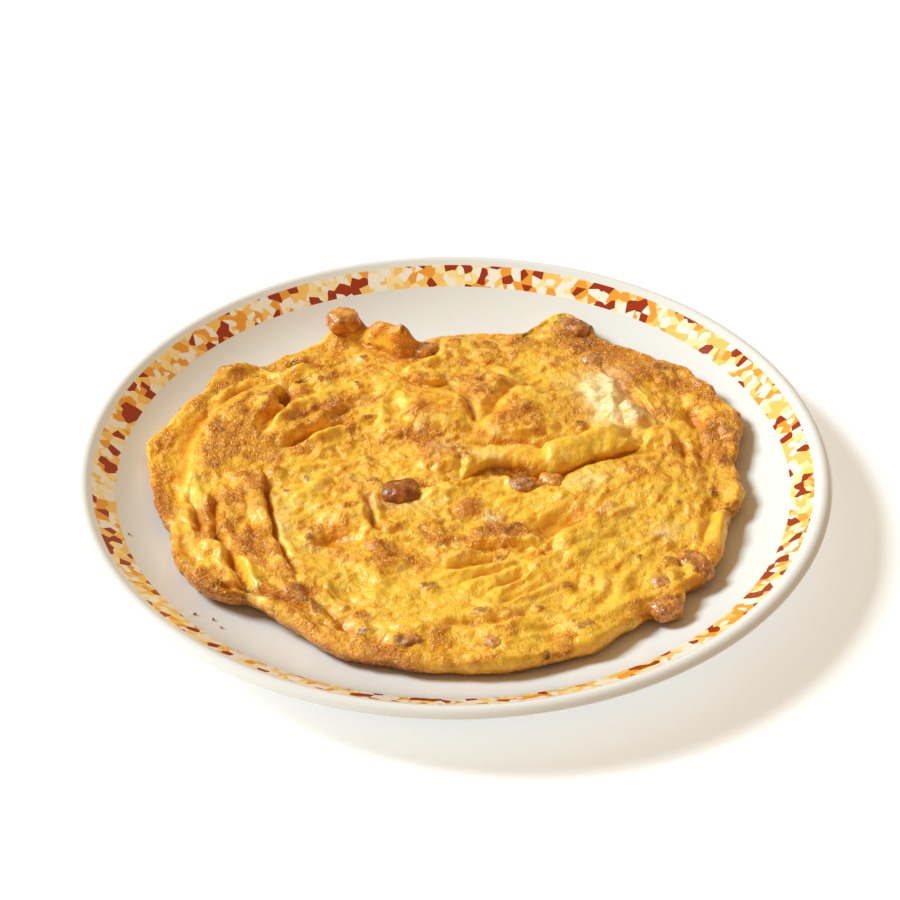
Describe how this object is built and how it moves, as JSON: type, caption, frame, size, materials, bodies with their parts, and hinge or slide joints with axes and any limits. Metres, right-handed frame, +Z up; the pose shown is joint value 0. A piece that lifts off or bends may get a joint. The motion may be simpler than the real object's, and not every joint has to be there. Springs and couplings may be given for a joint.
{
  "type": "preserved radish omelette on a plate",
  "caption": "Browned, folded omelette with diced preserved radish in its surface, lying on a round white coved plate with a patchwork band.",
  "frame": {"origin": "centre of the plate, on the surface it stands on", "axes": "+Z up; -Y towards the viewer's side of the picture, +X to the viewer's right"},
  "size_m": [0.26, 0.26, 0.0252],
  "materials": {
    "plate_glaze": "glossy white melamine with a printed band of red, orange and cream shards",
    "fried_egg": "moist fried egg, yellow in the folds and golden brown on the crests, lightly oiled",
    "preserved_radish": "brown, oiled, slightly translucent preserved radish"
  },
  "bodies": {
    "root": {"plate": "plate_glaze", "omelette": "fried_egg", "radish_centre": "preserved_radish", "radish_under_fold_left": "preserved_radish", "radish_under_fold_right": "preserved_radish", "radish_back_left": "preserved_radish", "radish_back_fold_end": "preserved_radish", "radish_back_right": "preserved_radish", "radish_back_right_inner": "preserved_radish", "radish_right_rim": "preserved_radish", "radish_right_front": "preserved_radish", "radish_front_right_upper": "preserved_radish", "radish_front_right_lower": "preserved_radish", "radish_front_round": "preserved_radish", "radish_front_middle": "preserved_radish", "radish_front_left": "preserved_radish"}
  },
  "joints": []
}
